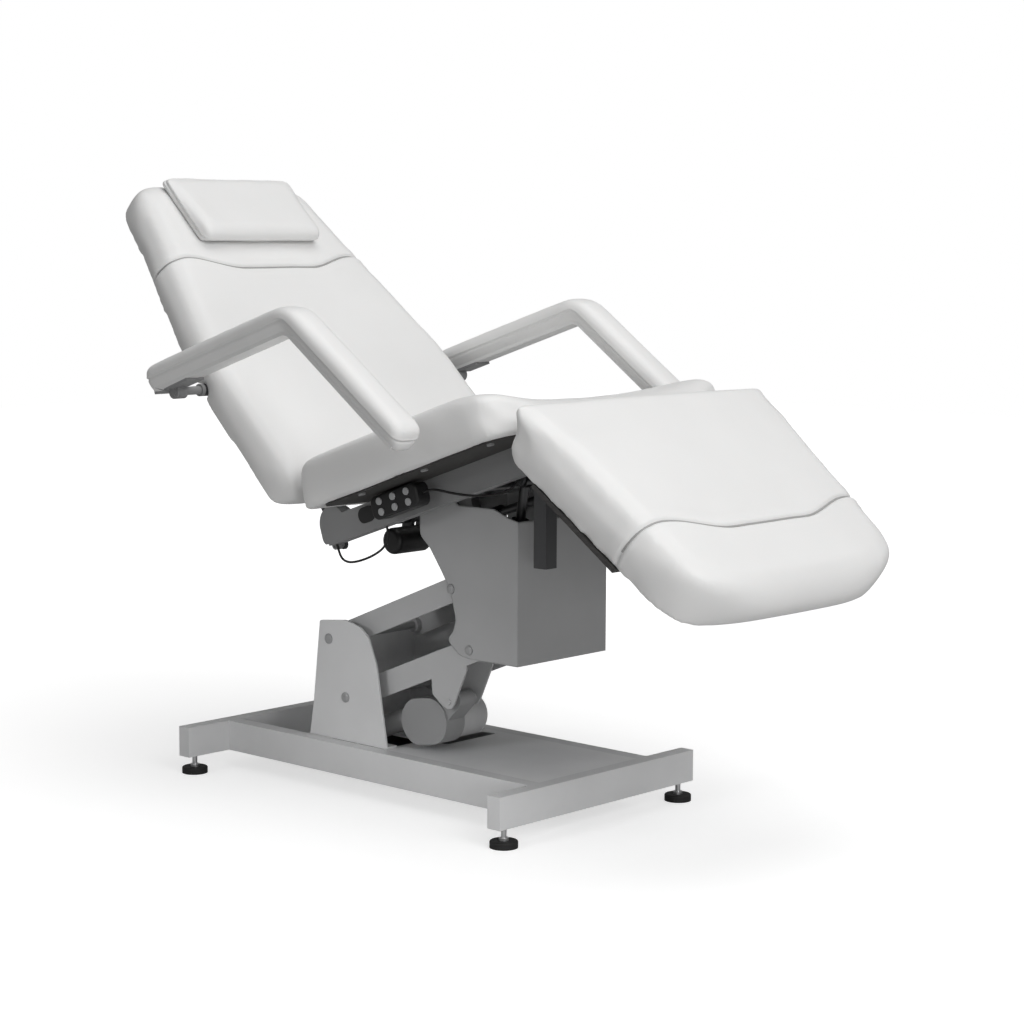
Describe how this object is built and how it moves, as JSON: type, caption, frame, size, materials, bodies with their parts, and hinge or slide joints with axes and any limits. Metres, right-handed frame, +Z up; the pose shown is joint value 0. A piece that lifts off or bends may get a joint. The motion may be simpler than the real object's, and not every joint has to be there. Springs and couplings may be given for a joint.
{
  "type": "podiatry_chair",
  "caption": "White upholstered podiatry chair with reclining back, folding leg rest, swing-up armrests, electric parallelogram lift on a low grey H-shaped steel base and a hand control.",
  "frame": {"origin": "centre of the footprint on the floor, under the feet", "axes": "X along the chair, +X towards the foot end; Y across, +Y to the side away from the hand control; Z up"},
  "size_m": [1.5832, 0.856, 1.1925],
  "materials": {
    "white_leatherette": "soft white synthetic leather with a fine grain",
    "grey_coated_steel": "light grey powder coat, satin",
    "dark_grey_steel": "dark grey powder coat, satin",
    "motor_grey_plastic": "grey moulded plastic housing",
    "black_plastic": "black moulded plastic",
    "button_grey_plastic": "light grey push buttons",
    "black_rubber": "black rubber",
    "bright_steel": "zinc plated or ground steel",
    "chrome_rod": "chromed rod and pins",
    "dark_board": "plywood board under the upholstery, dark grey stain"
  },
  "bodies": {
    "base": {"base_crossbars": "grey_coated_steel", "base_side_rails": "grey_coated_steel", "base_cover_plate": "grey_coated_steel", "tower_bracket": "grey_coated_steel", "tower_pivot_pins": "grey_coated_steel", "lift_actuator_anchor": "dark_grey_steel"},
    "foot_1": {"levelling_foot_1": "black_rubber"},
    "foot_2": {"levelling_foot_2": "black_rubber"},
    "foot_3": {"levelling_foot_3": "black_rubber"},
    "foot_4": {"levelling_foot_4": "black_rubber"},
    "lower_arm": {"lower_lift_arm": "grey_coated_steel"},
    "upper_arm": {"upper_lift_arm": "grey_coated_steel"},
    "column": {"column_housing": "grey_coated_steel", "column_pivot_pins": "grey_coated_steel", "control_box": "black_plastic", "mains_inlet": "black_plastic", "seat_tilt_shaft": "bright_steel"},
    "lift_actuator": {"lift_actuator_gearbox": "motor_grey_plastic", "lift_actuator_motor": "motor_grey_plastic"},
    "lift_rod": {"lift_actuator_rod": "chrome_rod"},
    "seat_frame": {"seat_left_channel": "dark_grey_steel", "seat_right_channel": "dark_grey_steel", "actuator_cross_tube": "dark_grey_steel", "frame_hinge_shafts": "bright_steel", "seat_board": "dark_board", "seat_board_screws": "bright_steel", "seat_cushion": "white_leatherette", "front_bar_with_socket": "dark_grey_steel", "hand_control_body": "black_plastic", "hand_control_holder": "bright_steel", "hand_control_cable": "black_rubber", "actuator_lead_loop": "black_rubber", "channel_round_covers": "black_plastic"},
    "tilt_actuator": {"tilt_actuator_body": "black_plastic"},
    "tilt_rod": {"tilt_actuator_rod": "chrome_rod"},
    "backrest": {"backrest_frame": "dark_grey_steel", "backrest_board": "dark_board", "backrest_cushion": "white_leatherette", "pillow": "white_leatherette"},
    "backrest_actuator": {"backrest_actuator_body": "black_plastic"},
    "backrest_rod": {"backrest_actuator_rod": "chrome_rod"},
    "crank_left": {"armrest_left_crank": "chrome_rod"},
    "crank_right": {"armrest_right_crank": "chrome_rod"},
    "link_left": {"levelling_link_left": "dark_grey_steel"},
    "link_right": {"levelling_link_right": "dark_grey_steel"},
    "armrest_left": {"armrest_left_tray": "white_leatherette", "armrest_left_pad": "white_leatherette"},
    "armrest_right": {"armrest_right_tray": "white_leatherette", "armrest_right_pad": "white_leatherette"},
    "leg_rest": {"leg_rest_frame": "dark_grey_steel", "leg_rest_board": "dark_board", "leg_rest_cushion": "white_leatherette"},
    "gas_spring": {"gas_spring_cylinder": "black_plastic"},
    "gas_rod": {"gas_spring_rod": "chrome_rod"},
    "button_1": {"hand_control_button_1": "button_grey_plastic"},
    "button_2": {"hand_control_button_2": "button_grey_plastic"},
    "button_3": {"hand_control_button_3": "button_grey_plastic"},
    "button_4": {"hand_control_button_4": "button_grey_plastic"},
    "button_5": {"hand_control_button_5": "button_grey_plastic"},
    "button_6": {"hand_control_button_6": "button_grey_plastic"}
  },
  "joints": [
    {"name": "foot_1_height", "type": "slide", "parent": "base", "child": "foot_1", "axis": [0, 0, -1], "range_m": [-0.008, 0.012]},
    {"name": "foot_2_height", "type": "slide", "parent": "base", "child": "foot_2", "axis": [0, 0, -1], "range_m": [-0.008, 0.012]},
    {"name": "foot_3_height", "type": "slide", "parent": "base", "child": "foot_3", "axis": [0, 0, -1], "range_m": [-0.008, 0.012]},
    {"name": "foot_4_height", "type": "slide", "parent": "base", "child": "foot_4", "axis": [0, 0, -1], "range_m": [-0.008, 0.012]},
    {"name": "lift", "type": "hinge", "parent": "base", "child": "lower_arm", "pos_m": [-0.22537, 0, 0.182], "axis": [0, -1, 0], "range_deg": [-2.5, 33]},
    {"name": "upper_arm_pivot", "type": "hinge", "parent": "base", "child": "upper_arm", "pos_m": [-0.27237, 0, 0.292], "axis": [0, -1, 0], "range_deg": [-2.5, 33]},
    {"name": "column_pivot", "type": "hinge", "parent": "lower_arm", "child": "column", "pos_m": [0.09463, 0, 0.312], "axis": [0, -1, 0], "range_deg": [-33, 2.5]},
    {"name": "lift_actuator_pivot", "type": "hinge", "parent": "lower_arm", "child": "lift_actuator", "pos_m": [0.02963, -0.072, 0.205], "axis": [0, -1, 0], "range_deg": [-8.18, 0.78]},
    {"name": "lift_actuator_stroke", "type": "slide", "parent": "lift_actuator", "child": "lift_rod", "axis": [-0.9304, 0, -0.3664], "range_m": [-0.00302, 0.03378]},
    {"name": "seat_tilt", "type": "hinge", "parent": "column", "child": "seat_frame", "pos_m": [0.01263, 0, 0.595], "axis": [0, 1, 0], "range_deg": [0, 19]},
    {"name": "tilt_actuator_pivot", "type": "hinge", "parent": "column", "child": "tilt_actuator", "pos_m": [0.12463, -0.055, 0.352], "axis": [0, 1, 0], "range_deg": [-0.06, 3.14]},
    {"name": "tilt_actuator_stroke", "type": "slide", "parent": "tilt_actuator", "child": "tilt_rod", "axis": [0.1713, 0, 0.9852], "range_m": [-0.05268, 0.0005]},
    {"name": "recline", "type": "hinge", "parent": "seat_frame", "child": "backrest", "pos_m": [-0.21237, 0, 0.525], "axis": [0, -1, 0], "range_deg": [0, 62.5]},
    {"name": "backrest_actuator_pivot", "type": "hinge", "parent": "backrest", "child": "backrest_actuator", "pos_m": [-0.22197, 0.045, 0.4708], "axis": [0, -1, 0], "range_deg": [-63.37, 1.24]},
    {"name": "backrest_actuator_stroke", "type": "slide", "parent": "backrest_actuator", "child": "backrest_rod", "axis": [0.9504, 0, 0.3112], "range_m": [-0.05761, 0.0005]},
    {"name": "crank_left_pivot", "type": "hinge", "parent": "backrest", "child": "crank_left", "pos_m": [-0.42172, 0.163, 0.77853], "axis": [0, -1, 0], "range_deg": [-62.5, 0]},
    {"name": "link_left_pivot", "type": "hinge", "parent": "seat_frame", "child": "link_left", "pos_m": [-0.22633, 0.137, 0.48222], "axis": [0, -1, 0], "range_deg": [0, 62.5]},
    {"name": "armrest_left_lift", "type": "hinge", "parent": "crank_left", "child": "armrest_left", "pos_m": [-0.42172, 0.38, 0.77853], "axis": [0, -1, 0], "range_deg": [0, 75]},
    {"name": "crank_right_pivot", "type": "hinge", "parent": "backrest", "child": "crank_right", "pos_m": [-0.42172, -0.163, 0.77853], "axis": [0, -1, 0], "range_deg": [-62.5, 0]},
    {"name": "link_right_pivot", "type": "hinge", "parent": "seat_frame", "child": "link_right", "pos_m": [-0.22633, -0.137, 0.48222], "axis": [0, -1, 0], "range_deg": [0, 62.5]},
    {"name": "armrest_right_lift", "type": "hinge", "parent": "crank_right", "child": "armrest_right", "pos_m": [-0.42172, -0.38, 0.77853], "axis": [0, -1, 0], "range_deg": [0, 75]},
    {"name": "leg_rest_lift", "type": "hinge", "parent": "seat_frame", "child": "leg_rest", "pos_m": [0.35863, 0, 0.708], "axis": [0, -1, 0], "range_deg": [-12, 57.4]},
    {"name": "gas_spring_pivot", "type": "hinge", "parent": "seat_frame", "child": "gas_spring", "pos_m": [0.07862, 0.134, 0.59974], "axis": [0, -1, 0], "range_deg": [-1, 1.5]},
    {"name": "gas_spring_stroke", "type": "slide", "parent": "gas_spring", "child": "gas_rod", "axis": [0.9748, 0, 0.2229], "range_m": [-0.00932, 0.0427]},
    {"name": "button_1_press", "type": "slide", "parent": "seat_frame", "child": "button_1", "axis": [0, 1, 0], "range_m": [0, 0.0015], "stiffness_N_per_m": 1200, "springref_m": -0.0006},
    {"name": "button_2_press", "type": "slide", "parent": "seat_frame", "child": "button_2", "axis": [0, 1, 0], "range_m": [0, 0.0015], "stiffness_N_per_m": 1200, "springref_m": -0.0006},
    {"name": "button_3_press", "type": "slide", "parent": "seat_frame", "child": "button_3", "axis": [0, 1, 0], "range_m": [0, 0.0015], "stiffness_N_per_m": 1200, "springref_m": -0.0006},
    {"name": "button_4_press", "type": "slide", "parent": "seat_frame", "child": "button_4", "axis": [0, 1, 0], "range_m": [0, 0.0015], "stiffness_N_per_m": 1200, "springref_m": -0.0006},
    {"name": "button_5_press", "type": "slide", "parent": "seat_frame", "child": "button_5", "axis": [0, 1, 0], "range_m": [0, 0.0015], "stiffness_N_per_m": 1200, "springref_m": -0.0006},
    {"name": "button_6_press", "type": "slide", "parent": "seat_frame", "child": "button_6", "axis": [0, 1, 0], "range_m": [0, 0.0015], "stiffness_N_per_m": 1200, "springref_m": -0.0006}
  ],
  "couplings": [
    {"joint": "upper_arm_pivot", "follows": "lift", "ratio": 1},
    {"joint": "column_pivot", "follows": "lift", "ratio": -1},
    {"joint": "lift_actuator_pivot", "follows": "lift", "ratio": -0.24274},
    {"joint": "lift_actuator_stroke", "follows": "lift", "m_per_rad": 0.057781},
    {"joint": "tilt_actuator_pivot", "follows": "seat_tilt", "ratio": 0.16226},
    {"joint": "tilt_actuator_stroke", "follows": "seat_tilt", "m_per_rad": -0.15735},
    {"joint": "backrest_actuator_pivot", "follows": "recline", "ratio": -0.99411},
    {"joint": "backrest_actuator_stroke", "follows": "recline", "m_per_rad": -0.052357},
    {"joint": "crank_left_pivot", "follows": "recline", "ratio": -1},
    {"joint": "crank_right_pivot", "follows": "recline", "ratio": -1},
    {"joint": "link_left_pivot", "follows": "recline", "ratio": 1},
    {"joint": "link_right_pivot", "follows": "recline", "ratio": 1},
    {"joint": "gas_spring_pivot", "follows": "leg_rest_lift", "ratio": 0.0142},
    {"joint": "gas_spring_stroke", "follows": "leg_rest_lift", "m_per_rad": 0.042128}
  ]
}
